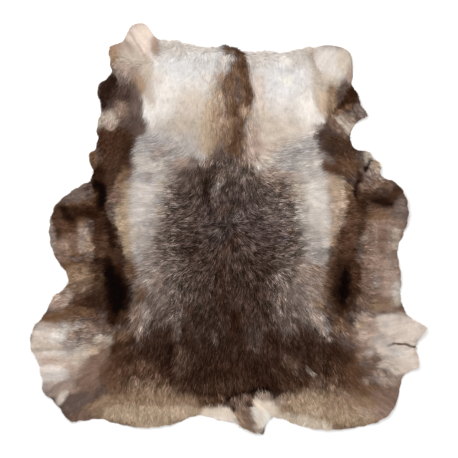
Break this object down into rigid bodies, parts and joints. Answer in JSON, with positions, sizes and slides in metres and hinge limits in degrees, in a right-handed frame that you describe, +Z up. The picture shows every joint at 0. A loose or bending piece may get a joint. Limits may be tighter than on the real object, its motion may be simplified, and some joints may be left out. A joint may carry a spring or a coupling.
{
  "type": "reindeer hide",
  "caption": "Reindeer hide lying flat, hair side up, with its neck, leg flaps and tail, a lumpy coat and a waved rim.",
  "frame": {"origin": "middle of the outline, on the surface that the hide lies on", "axes": "+Z up out of the coat, +Y towards the neck end, +X towards the right-hand legs as seen from above with the neck at the top"},
  "size_m": [1.1554, 1.1998, 0.0565],
  "materials": {
    "coat": "dense matt hair, dark grey-brown back and rump, white neck and flanks, dark brown sides, tan rump edge",
    "skin": "tanned suede, pale, matt"
  },
  "bodies": {
    "root": {"hide": "coat"}
  },
  "joints": []
}
